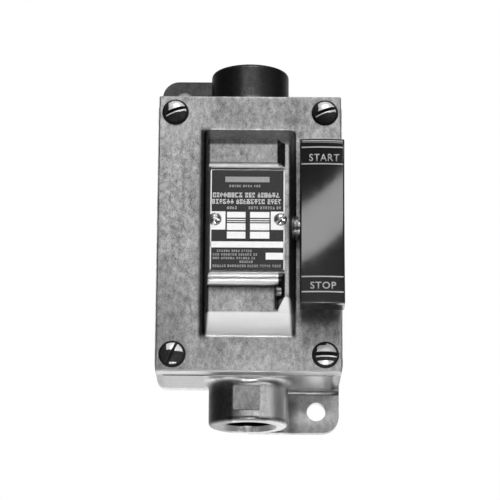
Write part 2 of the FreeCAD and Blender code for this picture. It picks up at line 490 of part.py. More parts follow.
for sx in (-1, 1):
    for sz in (-1, 1):
        x, z = BLOCK_X + sx * TX, sz * TZ
        w = box(x - 3.4, x + 3.4, -23.4, -22.1, z - 3.2, z + 3.2)
        w = cut(w, cyl_y(x, z, 1.65, -25, -19), box(x - 4, x + 4, -22.7, -22.0, z - 2.6, z - 1.75), box(x - 4, x + 4, -22.7, -22.0, z + 1.75, z + 2.6))
        tc.append(w)
        ts.append(round_head_screw(x, z, -23.4, 3.0, 2.0, 1.5, 10.5, 0.8, 1.0, 40 * sx + 20 * sz))
save("terminal_screws", Part.makeCompound(ts))
save("terminal_clamps", Part.makeCompound(tc))

# ---------------------------------------------------------------- centring springs
def spring(z0, z1, x, y, R, r, turns):
    """Closed-end compression spring along Z, round wire."""
    h = z1 - z0 - 2 * r
    helix = Part.makeHelix(h / turns, h, R)
    prof = Part.Wire([Part.makeCircle(r, V(R, 0, 0), V(0, 1, 0))])
    w = Part.Wire(helix.Edges)
    s = w.makePipeShell([prof], True, True)
    s.translate(V(x, y, z0 + r))
    return s
ZA, ZB = CAR_HZ - 4 + 0.05, BZ - 3.2 - 0.05
save("upper_centring_spring", spring(ZA, ZB, BLOCK_X, -18.5, 3.0, 0.45, 5))
save("lower_centring_spring", spring(-ZB, -ZA, BLOCK_X, -18.5, 3.0, 0.45, 5))

# ---------------------------------------------------------------- ground screw
gx, gz = GROUND
gy = -WALL_BACK - 5.0
w = cyl_y(gx, gz, 4.6, gy - 1.6, gy).cut(cyl_y(gx, gz, 2.2, gy - 3, gy + 1))
w = w.cut(cyl_y(gx, gz, 3.9, gy - 3, gy - 1.0))
save("ground_cup_washer", w)
save("ground_screw", round_head_screw(gx, gz, gy - 1.0, 3.7, 2.4, 2.0, 7.5, 1.0, 1.1, 10))
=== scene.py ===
import bpy, bmesh, math, random
from mathutils import Vector, Matrix


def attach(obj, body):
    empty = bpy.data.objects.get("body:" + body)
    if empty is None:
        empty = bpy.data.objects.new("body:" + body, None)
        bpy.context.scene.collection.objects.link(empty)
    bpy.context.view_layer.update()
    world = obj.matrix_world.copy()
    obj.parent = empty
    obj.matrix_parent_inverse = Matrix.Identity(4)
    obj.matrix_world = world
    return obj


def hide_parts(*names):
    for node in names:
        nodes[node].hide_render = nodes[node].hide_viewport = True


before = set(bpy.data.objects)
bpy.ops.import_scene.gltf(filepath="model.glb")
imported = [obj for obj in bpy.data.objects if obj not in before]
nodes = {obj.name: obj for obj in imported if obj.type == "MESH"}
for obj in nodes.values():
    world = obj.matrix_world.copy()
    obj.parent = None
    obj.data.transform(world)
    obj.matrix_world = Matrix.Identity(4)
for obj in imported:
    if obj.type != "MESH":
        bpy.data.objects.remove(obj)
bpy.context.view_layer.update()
MM = 0.001

# ------------------------------------------------------------------ dimensions shared with the CAD model, mm
FACE_Y = -48.0
TOP_H = 22.5
PLATE_T = 0.8
PLATE_Y = FACE_Y - TOP_H - PLATE_T
PX0, PX1, PHH = -18.6, 16.6, 25.2
ROCK_X0, ROCK_X1, ROCK_HH = 24.0, 45.2, 40.6
ROCK_END_H, ROCK_DISH = 21.0, 17.6
ROCK_DZ = 0.8
SHAFT_Y = FACE_Y - 8.0


# ------------------------------------------------------------------ materials
def new_mat(name):
    m = bpy.data.materials.new(name)
    m.use_nodes = True
    nt = m.node_tree
    nt.nodes.clear()
    out = nt.nodes.new("ShaderNodeOutputMaterial")
    bs = nt.nodes.new("ShaderNodeBsdfPrincipled")
    nt.links.new(bs.outputs[0], out.inputs[0])
    return m, nt, bs


def noise(nt, scale, detail=4.0, rough=0.55, stretch=None, dist=0.0):
    tc = nt.nodes.new("ShaderNodeTexCoord")
    n = nt.nodes.new("ShaderNodeTexNoise")
    n.inputs["Scale"].default_value = scale
    n.inputs["Detail"].default_value = detail
    n.inputs["Roughness"].default_value = rough
    n.inputs["Distortion"].default_value = dist
    if stretch:
        mp = nt.nodes.new("ShaderNodeMapping")
        mp.inputs["Scale"].default_value = stretch
        nt.links.new(tc.outputs["Object"], mp.inputs["Vector"])
        nt.links.new(mp.outputs[0], n.inputs["Vector"])
    else:
        nt.links.new(tc.outputs["Object"], n.inputs["Vector"])
    return n


def ramp(nt, src, stops):
    r = nt.nodes.new("ShaderNodeValToRGB")
    r.color_ramp.elements[0].position = stops[0][0]
    r.color_ramp.elements[1].position = stops[-1][0]
    for p, c in stops[1:-1]:
        r.color_ramp.elements.new(p)
    for e, (p, c) in zip(sorted(r.color_ramp.elements, key=lambda e: e.position), stops):
        e.color = (c, c, c, 1) if isinstance(c, (int, float)) else (*c, 1)
    nt.links.new(src, r.inputs[0])
    return r


def surface(name, lo, hi, rough=(0.35, 0.5), metallic=0.0, mottle=250.0, grain=1800.0, bump=0.15, bump_mm=0.05,
            stretch=None, coat=0.0, spec=None, zones=(), cloud=0.0):
    """Two scales of noise drive colour, roughness and bump."""
    m, nt, bs = new_mat(name)
    a = noise(nt, mottle, 6.0, 0.68, stretch, 0.3)
    b = noise(nt, grain, 3.0, 0.6, stretch)
    mix = nt.nodes.new("ShaderNodeMath")
    mix.operation = "MULTIPLY_ADD"
    nt.links.new(b.outputs["Fac"], mix.inputs[0])
    mix.inputs[1].default_value = 0.45
    sub = nt.nodes.new("ShaderNodeMath")
    sub.operation = "MULTIPLY"
    sub.inputs[1].default_value = 0.55
    nt.links.new(a.outputs["Fac"], sub.inputs[0])
    nt.links.new(sub.outputs[0], mix.inputs[2])
    tone = mix.outputs[0]
    if cloud:
        c = noise(nt, 46.0, 3.0, 0.6, (1.0, 1.0, 0.5), 0.2)
        cl = nt.nodes.new("ShaderNodeMath")
        cl.operation = "MULTIPLY_ADD"
        nt.links.new(c.outputs["Fac"], cl.inputs[0])
        cl.inputs[1].default_value = cloud
        cl.inputs[2].default_value = -0.5 * cloud
        ad = nt.nodes.new("ShaderNodeMath")
        ad.operation = "ADD"
        nt.links.new(mix.outputs[0], ad.inputs[0])
        nt.links.new(cl.outputs[0], ad.inputs[1])
        tone = ad.outputs[0]
    col = ramp(nt, tone, [(0.30, lo), (0.70, hi)])
    shade = col.outputs[0]
    # zones: object-space masks that paint light and shade into the colour
    if zones:
        tc = nt.nodes.new("ShaderNodeTexCoord")
        sep = nt.nodes.new("ShaderNodeSeparateXYZ")
        nt.links.new(tc.outputs["Object"], sep.inputs[0])
        for terms, factor in zones:
            prod = None
            for ax, a0, a1 in terms:
                mr = nt.nodes.new("ShaderNodeMapRange")
                mr.interpolation_type = "SMOOTHSTEP"
                mr.inputs["From Min"].default_value = a0 * MM
                mr.inputs["From Max"].default_value = a1 * MM
                nt.links.new(sep.outputs[ax], mr.inputs["Value"])
                if prod is None:
                    prod = mr.outputs["Result"]
                else:
                    ml = nt.nodes.new("ShaderNodeMath")
                    ml.operation = "MULTIPLY"
                    nt.links.new(prod, ml.inputs[0])
                    nt.links.new(mr.outputs["Result"], ml.inputs[1])
                    prod = ml.outputs[0]
            mx = nt.nodes.new("ShaderNodeMix")
            mx.data_type = "RGBA"
            mx.blend_type = "MULTIPLY" if factor <= 1.0 else "MIX"
            nt.links.new(prod, mx.inputs["Factor"])
            nt.links.new(shade, mx.inputs[6])
            tint = factor if factor <= 1.0 else factor - 1.0
            mx.inputs[7].default_value = (tint, tint, tint, 1)
            shade = mx.outputs[2]
    nt.links.new(shade, bs.inputs["Base Color"])
    rr = ramp(nt, a.outputs["Fac"], [(0.3, rough[1]), (0.7, rough[0])])
    nt.links.new(rr.outputs[0], bs.inputs["Roughness"])
    bs.inputs["Metallic"].default_value = metallic
    if coat:
        bs.inputs["Coat Weight"].default_value = coat
        bs.inputs["Coat Roughness"].default_value = 0.08
    if spec is not None:
        bs.inputs["Specular IOR Level"].default_value = spec
    bp = nt.nodes.new("ShaderNodeBump")
    bp.inputs["Strength"].default_value = bump
    bp.inputs["Distance"].default_value = bump_mm * MM
    nt.links.new(mix.outputs[0], bp.inputs["Height"])
    nt.links.new(bp.outputs[0], bs.inputs["Normal"])
    return m


M = {}
# a factor up to 1 darkens by that much (painted shade), 1 + v blends to the plain value v (painted light)
HOUSING_PAINTED_LIGHT_SHADE = [
    # painted shade on the long side walls of the raised housing and a painted shadow along their feet
    ([("X", -25.2, -23.2), ("X", -18.7, -19.6), ("Z", 53.5, 50.5), ("Z", -54.0, -50.5)], 0.06),
    ([("X", 18.2, 19.2), ("X", 23.0, 22.0), ("Z", 52.5, 49.5), ("Z", -54.0, -50.0)], 0.18),
    # painted shade on the upper end slope and in the upper pocket
    ([("Z", 39.0, 40.6), ("Z", 52.4, 50.6), ("X", -22.0, -20.0), ("X", 21.5, 19.5), ("Y", -47.9, -48.6)], 0.17),
    ([("Z", 26.0, 29.0), ("Z", 41.0, 38.0), ("X", -22.0, -18.0), ("X", 15.0, 12.0), ("Y", -48.2, -49.0)], 0.80),
    # painted shade on the inner wall of the ridge and its painted shadow over the two pockets
    ([("X", 12.9, 13.4), ("X", 17.1, 16.4), ("Z", 26.5, 28.0), ("Z", 41.0, 38.0), ("Y", -47.0, -48.0)], 0.10),
    ([("X", 11.2, 12.4), ("X", 17.1, 16.4), ("Z", -25.6, -27.0), ("Z", -43.0, -41.0), ("Y", -47.0, -48.0)], 0.05),
    # painted light on the lower end slope and the lower end of the ridge, painted highlights on the steps at both ends
    # of the plate, and a painted shadow line under the lower step
    ([("Z", -42.4, -43.2), ("Z", -52.6, -51.6), ("X", -21.5, -19.8), ("X", 21.5, 19.6), ("Y", -47.7, -48.2)], 1.64),
    ([("Z", -37.2, -37.8), ("X", 13.0, 14.6), ("X", 21.5, 19.0), ("Z", -43.6, -42.6), ("Y", -57.0, -60.0)], 1.62),
    ([("Z", -25.3, -25.9), ("Z", -30.6, -29.9), ("X", -20.5, -19.0), ("X", 14.2, 13.2), ("Y", -60.0, -61.0)], 1.74),
    ([("Z", -30.0, -30.5), ("Z", -34.5, -30.9), ("X", -20.5, -18.5), ("X", 14.2, 13.2), ("Y", -60.0, -61.0)], 0.35),
    ([("Z", 29.4, 28.4), ("Z", 25.3, 26.0), ("X", -20.5, -19.0), ("X", 14.2, 13.2), ("Y", -60.0, -64.0)], 1.30),
    # painted shadow of the rocker on the cover face below it; elsewhere the cover face is made darker towards the lower
    # left and along the top
    ([("X", 22.0, 27.0), ("X", 44.3, 42.5), ("Z", -38.0, -41.5), ("Z", -62.0, -49.0), ("Y", -49.0, -47.8)], 0.50),
    ([("X", -26.0, -34.0), ("X", -44.3, -43.4), ("Z", -10.0, -44.0), ("Y", -49.0, -47.8)], 0.72),
    ([("X", -26.0, -8.0), ("X", 36.0, 24.0), ("Z", 51.0, 57.0), ("Z", 68.4, 67.0), ("Y", -49.0, -47.8)], 0.78),
    # painted light on the underside of the cover
    ([("Z", -67.4, -68.3)], 1.42),
]
BODY_PAINTED_LIGHT_SHADE = [
    # painted shade over the upper end of the body: upper hub and upper lugs
    ([("Z", 60, 74), ("Y", -0.4, -1.6)], 0.12),
    # painted shade down the left side of the lower hub
    ([("Z", -68, -76), ("X", -6.6, -8.6), ("X", -21.0, -19.0), ("Y", -0.4, -1.6)], 0.26),
    # painted shade on the plain pad of the lower hub
    ([("Z", -72.8, -73.6), ("Z", -86.0, -85.2), ("X", -7.9, -7.2), ("X", 5.9, 5.2), ("Y", -38.0, -38.6)], 0.50),
    # painted light on the underside of the box
    ([("Z", -66.5, -69.0), ("Z", -73.5, -70.5), ("X", -18.0, -23.0), ("Y", -7.5, -11.0)], 1.22),
    ([("Z", -67.5, -68.8), ("Z", -73.0, -70.8), ("X", -20.0, -16.0), ("X", 20.0, 16.0), ("Y", -36.0, -39.0)], 1.85),
    ([("Z", -66.5, -69.0), ("Z", -73.5, -70.5), ("X", 18.0, 23.0), ("Y", -9.0, -13.0)], 1.56),
    # painted shade in the crook between lower hub and lug, and on the foot of the lug
    ([("X", 17.0, 20.0), ("X", 27.0, 20.5), ("Z", -70.0, -76.0), ("Y", -0.4, -1.6)], 0.42),
    ([("X", 19.0, 22.0), ("Z", -83.0, -88.0)], 0.60),
    # lower hub: painted shade in the bore with a painted dark slit at the back of its mouth, painted light on the
    # entry, and a painted highlight down the right side of the hub
    ([("Z", -60.0, -64.0), ("Z", -88.1, -87.7), ("X", -12.8, -12.3), ("X", 12.8, 12.3), ("Y", -34.0, -33.0), ("Y", -6.9, -7.5)], 0.03),
    ([("Z", -87.7, -88.1), ("Z", -90.38, -90.2), ("X", -14.0, -13.6), ("X", 14.0, 13.6), ("Y", -22.0, -20.0), ("Y", -5.6, -6.2)], 1.80),
    ([("Z", -87.7, -88.1), ("Z", -90.4, -90.34), ("X", -4.4, -1.6), ("X", 4.4, 1.6), ("Y", -16.0, -12.0), ("Y", -5.6, -6.2)], 0.09),
    ([("Z", -71.5, -73.5), ("Z", -88.4, -87.6), ("X", 8.0, 12.0), ("X", 18.6, 17.4), ("Y", -22.0, -26.0)], 1.80),
    # painted shade that mutes the highlights on the front of the rounded hub end, the flare over the hub, the foot of
    # the lug and the lower right corner of the box
    ([("Z", -87.8, -88.8), ("Y", -35.5, -37.0)], 0.45),
    ([("Z", -69.3, -70.2), ("Z", -74.5, -73.4), ("X", -12.0, -9.0), ("X", 17.0, 14.0), ("Y", -31.0, -33.0)], 0.75),
    ([("X", 18.5, 20.5), ("Z", -69.3, -69.7), ("Z", -72.0, -71.2), ("Y", -7.8, -7.0), ("Y", -4.2, -4.8)], 0.20),
    ([("X", 39.0, 42.0), ("Z", -58.0, -62.0), ("Y", -5.5, -8.0), ("Y", -46.0, -43.0)], 0.30),
]
M["cast_cover"] = surface("cast_cover", 0.12, 0.56, (0.36, 0.52), 0.9, 420.0, 2200.0, 0.75, 0.09, stretch=(1.0, 1.0, 0.6),
                          zones=HOUSING_PAINTED_LIGHT_SHADE, cloud=0.34)
M["cast_body"] = surface("cast_body", 0.22, 0.66, (0.27, 0.40), 0.92, 420.0, 2200.0, 0.75, 0.09, stretch=(1.0, 1.0, 0.6),
                         zones=BODY_PAINTED_LIGHT_SHADE, cloud=0.34)
M["screw"] = surface("screw_steel", 0.60, 0.82, (0.15, 0.24), 1.0, 500.0, 2500.0, 0.35, 0.04)
M["screw_slot"] = surface("screw_slot", 0.70, 0.86, (0.45, 0.6), 0.7, 500.0, 2500.0, 0.35, 0.03)
# darkened steel: painted shade on the pocket screw and the shaft collar
M["steel_painted_shade"] = surface("steel_painted_shade", 0.10, 0.20, (0.30, 0.42), 0.9, 500.0, 2500.0, 0.35, 0.04)
# bright, less metallic steel: painted highlight on the cover screw heads
M["screw_painted_highlight"] = surface("screw_painted_highlight", 0.92, 0.98, (0.26, 0.36), 0.30, 500.0, 2500.0, 0.25, 0.03)
# near-black: painted shade on the cover screw heads
M["screw_painted_shade"] = surface("screw_painted_shade", 0.012, 0.05, (0.42, 0.6), 0.2, 500.0, 2500.0, 0.35, 0.03, spec=0.25)
# near-black: painted shade on the rims, skirts and slot walls of the screw heads
M["screw_wall_painted_shade"] = surface("screw_wall_painted_shade", 0.012, 0.03, (0.6, 0.8), 0.0, 500.0, 2500.0, 0.35, 0.03, spec=0.1)
M["plate_dark"] = surface("plate_dark", 0.012, 0.03, (0.35, 0.5), 0.3, 900.0, 4000.0, 0.2, 0.02)
M["print_small"] = surface("print_small", 0.34, 0.46, (0.4, 0.5), 0.3, 700.0, 3500.0, 0.2, 0.02)
M["print_mid"] = surface("print_mid", 0.56, 0.70, (0.4, 0.5), 0.4, 700.0, 3500.0, 0.2, 0.02)
M["plate_bright"] = surface("plate_bright", 0.84, 0.95, (0.32, 0.45), 0.5, 700.0, 3500.0, 0.2, 0.02)
# near-black metal: painted shade on the shaft bushing
M["bushing_painted_shade"] = surface("bushing_painted_shade", 0.05, 0.10, (0.35, 0.5), 0.9, 600.0, 3000.0, 0.2, 0.02)
M["phenolic"] = surface("phenolic", (0.020, 0.016, 0.013), (0.042, 0.034, 0.028), (0.4, 0.55), 0.0, 400.0, 2500.0, 0.2, 0.03)
M["zinc"] = surface("zinc", 0.40, 0.60, (0.3, 0.45), 0.95, 350.0, 2500.0, 0.2, 0.02)
M["copper"] = surface("copper", (0.45, 0.21, 0.12), (0.66, 0.36, 0.24), (0.25, 0.4), 1.0, 500.0, 2500.0, 0.15, 0.02)
M["brass"] = surface("brass", (0.45, 0.33, 0.13), (0.66, 0.50, 0.24), (0.25, 0.4), 1.0, 500.0, 2500.0, 0.15, 0.02)
M["steel"] = surface("steel", 0.32, 0.52, (0.22, 0.38), 1.0, 500.0, 2500.0, 0.15, 0.02)
M["green"] = surface("ground_green", (0.03, 0.16, 0.05), (0.06, 0.26, 0.09), (0.3, 0.45), 0.2, 500.0, 2500.0, 0.15, 0.02)
M["black"] = surface("black_gloss", 0.008, 0.014, (0.07, 0.12), 0.0, 220.0, 1500.0, 0.06, 0.012, spec=1.0)
M["legend"] = surface("legend_white", 0.52, 0.66, (0.4, 0.5), 0.0, 700.0, 3000.0, 0.1, 0.01)
M["carriage"] = surface("carriage", (0.16, 0.045, 0.022), (0.27, 0.08, 0.04), (0.4, 0.5), 0.0, 400.0, 2500.0, 0.2, 0.03)

NODE_MAT = {
    "body_casting": "cast_body", "cover_casting": "cast_cover", "cover_screws": "screw", "nameplate": "plate_dark",
    "nameplate_screws": "screw", "pocket_screw": "steel_painted_shade", "rocker_handle": "black", "rocker_shaft": "steel",
    "rocker_roll_pin": "steel", "shaft_bushing": "bushing_painted_shade", "shaft_collar": "steel_painted_shade", "shaft_retaining_ring": "steel",
    "fork_arm": "zinc", "fork_set_screw": "steel", "contact_carriage": "carriage", "drive_pin": "steel",
    "start_bridge": "copper", "stop_bridge": "copper", "start_contact_left": "copper", "start_contact_right": "copper",
    "stop_contact_left": "copper", "stop_contact_right": "copper", "terminal_screws": "brass", "terminal_clamps": "brass",
    "contact_block_base": "phenolic", "contact_block_cover": "phenolic", "block_cover_screws": "screw",
    "mounting_plate": "zinc", "plate_screws": "screw", "block_screws": "screw", "upper_centring_spring": "steel",
    "lower_centring_spring": "steel", "ground_screw": "green", "ground_cup_washer": "brass",
}
for n, o in nodes.items():
    o.data.materials.clear()
    o.data.materials.append(M[NODE_MAT[n]])


# ------------------------------------------------------------------ mesh helpers, mm in, metres out
def mesh_obj(name, verts, faces, mats, smooth=True, face_mats=None):
    me = bpy.data.meshes.new(name)
    me.from_pydata([(x * MM, y * MM, z * MM) for x, y, z in verts], [], faces)
    bm = bmesh.new()
    bm.from_mesh(me)
    bmesh.ops.recalc_face_normals(bm, faces=bm.faces)
    bm.to_mesh(me)
    bm.free()
    me.update()
    for m in (mats if isinstance(mats, (list, tuple)) else [mats]):
        me.materials.append(m)
    if face_mats:
        for p, k in zip(me.polygons, face_mats):
            p.material_index = k
    if smooth:
        for p in me.polygons:
            p.use_smooth = True
        me.set_sharp_from_angle(angle=math.radians(38))
    o = bpy.data.objects.new(name, me)
    bpy.context.scene.collection.objects.link(o)
    return o


def dish_h(z):
    a = min(abs(z), ROCK_HH) / ROCK_HH
    return ROCK_DISH + (ROCK_END_H - ROCK_DISH) * a ** 2


XC = (ROCK_X0 + ROCK_X1) / 2
HWX = (ROCK_X1 - ROCK_X0) / 2
CROWN = 0.75


def front_y(x, z):
    """Front surface of the rocker: a long dish with a slight crown across."""
    return FACE_Y - dish_h(z - ROCK_DZ) + CROWN * ((x - XC) / HWX) ** 2


def back_y(z):
    a = abs(z)
    if a >= ROCK_HH - 6:
        return FACE_Y - 6.1
    if a <= 14:
        return FACE_Y - 2.5
    t = (a - 14) / (ROCK_HH - 6 - 14)
    return FACE_Y - 2.5 - 3.6 * t


def build_rocker():
    r, T = 0.9, 2.2
    re_lo, re_hi = 0.5, 2.6
    # stations along Z, dense in the rounded ends
    zs = []
    K = 8
    for k in range(K + 1):
        zs.append(-ROCK_HH + re_lo * (1 - math.cos(math.pi / 2 * k / K)))
    n = 56
    for k in range(1, n):
        zs.append(-ROCK_HH + re_lo + (2 * ROCK_HH - re_lo - re_hi) * k / n)
    zs += [ROCK_HH - re_hi * (1 - math.cos(math.pi / 2 * k / K)) for k in range(K, -1, -1)]
    if True:
        # stations at the inner end walls
        for z in (-ROCK_HH + T, ROCK_HH - T):
            if min(abs(z - q) for q in zs) > 1e-6:
                zs.append(z)
        zs.sort()
    K2, NX = 6, 14

    def outline(z):
        e = ROCK_HH - abs(z)
        re = re_lo if z < 0 else re_hi
        drop = 0.0
        if e < re:
            drop = re - math.sqrt(max(0.0, re * re - (re - e) ** 2))
        pts = [(ROCK_X0, back_y(z))]
        f = lambda x: front_y(x, z + ROCK_DZ) + drop
        pts.append((ROCK_X0, f(ROCK_X0) + r + 2.5))
        for k in range(K2 + 1):
            a = math.pi / 2 * k / K2
            x = ROCK_X0 + r * (1 - math.cos(a))
            pts.append((x, f(ROCK_X0 + r) + r * (1 - math.sin(a))))
        for k in range(1, NX):
            x = ROCK_X0 + r + (2 * HWX - 2 * r) * k / NX
            pts.append((x, f(x)))
        for k in range(K2 + 1):
            a = math.pi / 2 * (1 - k / K2)
            x = ROCK_X1 - r * (1 - math.cos(a))
            pts.append((x, f(ROCK_X1 - r) + r * (1 - math.sin(a))))
        pts.append((ROCK_X1, f(ROCK_X1) + r + 2.5))
        pts.append((ROCK_X1, back_y(z)))
        return pts

    verts, faces = [], []
    rows = []
    for z in zs:
        row = []
        for x, y in outline(z):
            row.append(len(verts))
            verts.append((x, y, z))
        rows.append(row)
    L = len(rows[0])
    for a, b in zip(rows, rows[1:]):
        for i in range(L - 1):
            faces.append((a[i], a[i + 1], b[i + 1], b[i]))
    faces.append(tuple(rows[0]))
    faces.append(tuple(reversed(rows[-1])))
    # inner shell
    zi = [z for z in zs if abs(z) <= ROCK_HH - T + 1e-9]
    irows = []
    for z in zi:
        yi = FACE_Y - dish_h(z) + 2.6
        row = []
        for x, y in ((ROCK_X0 + T, back_y(z)), (ROCK_X0 + T, yi), (ROCK_X1 - T, yi), (ROCK_X1 - T, back_y(z))):
            row.append(len(verts))
            verts.append((x, y, z))
        irows.append(row)
    for a, b in zip(irows, irows[1:]):
        for i in range(3):
            faces.append((a[i], b[i], b[i + 1], a[i + 1]))
    faces.append(tuple(irows[0]))
    faces.append(tuple(reversed(irows[-1])))
    # rim
    lo, hi = zs.index(zi[0]), zs.index(zi[-1])
    for k in range(len(zs) - 1):
        a, b = rows[k], rows[k + 1]
        if lo <= k < hi:
            ia, ib = irows[k - lo], irows[k - lo + 1]
            faces.append((a[0], b[0], ib[0], ia[0]))
            faces.append((a[-1], ia[-1], ib[-1], b[-1]))
        elif k == lo - 1:
            ib = irows[0]
            faces.append((a[0], b[0], ib[0], ib[-1], b[-1], a[-1]))
        elif k == hi:
            ia = irows[-1]
            faces.append((a[0], b[0], b[-1], a[-1], ia[-1], ia[0]))
        else:
            faces.append((a[0], b[0], b[-1], a[-1]))
    return mesh_obj("rocker_shell", [(x, y, z + ROCK_DZ) for x, y, z in verts], faces, M["black"])


rocker = build_rocker()
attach(rocker, "rocker")


def tube_x(name, y, z, r, x0, x1, mat, seg=48):
    verts, faces = [], []
    for x in (x0, x1):
        for k in range(seg):
            a = 2 * math.pi * k / seg
            verts.append((x, y + r * math.cos(a), z + r * math.sin(a)))
    for k in range(seg):
        faces.append((k, (k + 1) % seg, seg + (k + 1) % seg, seg + k))
    faces.append(tuple(range(seg)))
    faces.append(tuple(reversed(range(seg, 2 * seg))))
    return mesh_obj(name, verts, faces, mat)


rhub = tube_x("rocker_hub", SHAFT_Y, 0, 7.0, ROCK_X0 + 0.02, ROCK_X1 - 1.0, M["black"])
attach(rhub, "rocker")
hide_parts("rocker_handle")
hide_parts("rocker_handle")


# ------------------------------------------------------------------ slotted round heads
def round_head(name, items, node, paint=None):
    """items: x, z, seat y, head radius, head height, slot width, slot depth, slot angle. Axis along Y."""
    verts, faces, fm = [], [], []
    for x0, z0, ys, R, H, sw, sd, ang in items:
        Rs = (R * R + H * H) / (2 * H)
        ca, sa = math.cos(math.radians(ang)), math.sin(math.radians(ang))

        def dome(p, q):
            rr = min(p * p + q * q, R * R)
            h = math.sqrt(max(Rs * Rs - rr, 0.0)) - (Rs - H)
            edge = max(0.0, 1 - (R - math.sqrt(rr)) / 0.35)
            return max(0.0, h) + 0.25 * (1 - edge * edge)

        def put(p, q, h):
            # p across the slot, q along it
            verts.append((x0 + q * ca - p * sa, ys - h, z0 + q * sa + p * ca))
            return len(verts) - 1

        NQ = 44
        rim = 0.07 * R
        fl = H - sd
        for side in (-1, 1):
            ps = [sw / 2 + (R - 0.01 - sw / 2) * (1 - (1 - k / 26) ** 1.4) for k in range(27)]
            grid = []
            for p in ps:
                half = math.sqrt(max(R * R - p * p, 0.0))
                grid.append([put(side * p, half * math.sin(math.pi / 2 * (-1 + 2 * j / NQ)), dome(p, half * math.sin(math.pi / 2 * (-1 + 2 * j / NQ)))) for j in range(NQ + 1)])
            for a, b in zip(grid, grid[1:]):
                for j in range(NQ):
                    faces.append((a[j], a[j + 1], b[j + 1], b[j]))
                    mx = sum(verts[i][0] for i in faces[-1]) / 4 - x0
                    mz = sum(verts[i][2] for i in faces[-1]) / 4 - z0
                    # outer ring of the head in the near-black wall material: painted shade on the steep edge
                    k = 2 if math.hypot(mx, mz) > R - rim else 0
                    fm.append(paint(mx / R, mz / R, ((mx * -sa + mz * ca)) / R, sw / 2 / R, ang) if paint else k)
            # slot wall, in the near-black wall material as painted shade
            half = math.sqrt(R * R - (sw / 2) ** 2)
            low = []
            for j in range(NQ + 1):
                q = half * math.sin(math.pi / 2 * (-1 + 2 * j / NQ))
                low.append(put(side * sw / 2, q, min(fl, dome(sw / 2, q))))
            for j in range(NQ):
                faces.append((grid[0][j], grid[0][j + 1], low[j + 1], low[j]))
                fm.append(2)
            if paint:
                fm[-NQ:] = [2] * NQ
            if side < 0:
                low0 = low
            else:
                for j in range(NQ):
                    faces.append((low0[j], low0[j + 1], low[j + 1], low[j]))
                    fm.append(2 if paint else 1)
        # skirt down to the seat, in the near-black wall material as painted shade
        top, bot = [], []
        for k in range(64):
            t = 2 * math.pi * k / 64
            top.append(put(R * math.cos(t), R * math.sin(t), 0.02))
            bot.append(put(R * math.cos(t), R * math.sin(t), -0.6))
        for k in range(64):
            j = (k + 1) % 64
            faces.append((top[k], top[j], bot[j], bot[k]))
            fm.append(2)
    o = mesh_obj(name, verts, faces, [M["screw"], M["screw_slot"], M["screw_wall_painted_shade"], M["screw_painted_highlight"], M["screw_painted_shade"]], face_mats=fm)
    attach(o, "enclosure")
    if node:
        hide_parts(node)
    return o


# ------------------------------------------------------------------ legends on the rocker
def strip(name, z, w, x0, x1, mat, proud=0.05):
    """A thin inlaid line across the rocker front."""
    n = 24
    verts, faces = [], []
    for k in range(n + 1):
        x = x0 + (x1 - x0) * k / n
        for dz in (-w / 2, w / 2):
            y = front_y(x, z + dz)
            verts.append((x, y - proud, z + dz))
            verts.append((x, y + 0.12, z + dz))
    for k in range(n):
        a, b = 4 * k, 4 * (k + 1)
        faces += [(a, a + 2, b + 2, b), (a, b, b + 1, a + 1), (a + 2, a + 3, b + 3, b + 2), (a + 1, b + 1, b + 3, a + 3)]
    faces += [(0, 1, 3, 2), (4 * n, 4 * n + 2, 4 * n + 3, 4 * n + 1)]
    return mesh_obj(name, verts, faces, mat, smooth=False)


def text_mesh(name, body, width, height, xc, zc, mat, surf, proud=0.05, depth=0.16, bold=0.0, spacing=1.0):
    """Raised lettering laid on a surface y = surf(x, z)."""
    cu = bpy.data.curves.new(name + "_c", "FONT")
    cu.body = body
    cu.size = 1.0
    cu.align_x = "CENTER"
    cu.space_character = spacing
    cu.resolution_u = 4
    cu.offset = bold
    tmp = bpy.data.objects.new(name + "_c", cu)
    bpy.context.scene.collection.objects.link(tmp)
    bpy.context.view_layer.update()
    dg = bpy.context.evaluated_depsgraph_get()
    me = bpy.data.meshes.new_from_object(tmp.evaluated_get(dg))
    bpy.data.objects.remove(tmp)
    bm = bmesh.new()
    bm.from_mesh(me)
    xs = [v.co.x for v in bm.verts]
    ys = [v.co.y for v in bm.verts]
    sx, sy = width / (max(xs) - min(xs)), height / (max(ys) - min(ys))
    cx, cy = (max(xs) + min(xs)) / 2, (max(ys) + min(ys)) / 2
    bmesh.ops.triangulate(bm, faces=bm.faces)
    ret = bmesh.ops.extrude_face_region(bm, geom=bm.faces[:])
    back = set(v for v in ret["geom"] if isinstance(v, bmesh.types.BMVert))
    for v in bm.verts:
        x = xc + (v.co.x - cx) * sx
        z = zc + (v.co.y - cy) * sy
        y = surf(x, z) + (depth if v in back else -proud)
        v.co = Vector((x * MM, y * MM, z * MM))
    bmesh.ops.recalc_face_normals(bm, faces=bm.faces)
    me2 = bpy.data.meshes.new(name)
    bm.to_mesh(me2)
    bm.free()
    bpy.data.meshes.remove(me)
    me2.materials.append(mat)
    o = bpy.data.objects.new(name, me2)
    bpy.context.scene.collection.objects.link(o)
    return o


for nm, z in (("line_top_outer", 36.8), ("line_top_inner", 28.8), ("line_bottom_inner", -26.6), ("line_bottom_outer", -34.2)):
    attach(strip(nm, z, 0.62, ROCK_X0 + 0.7, ROCK_X1 - 0.7, M["legend"]), "rocker")
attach(text_mesh("legend_start", "START", 14.4, 3.5, 35.5, 31.8, M["legend"], front_y, bold=0.012, spacing=1.12), "rocker")
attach(text_mesh("legend_stop", "STOP", 12.2, 3.5, 34.9, -31.0, M["legend"], front_y, bold=0.012, spacing=1.12), "rocker")


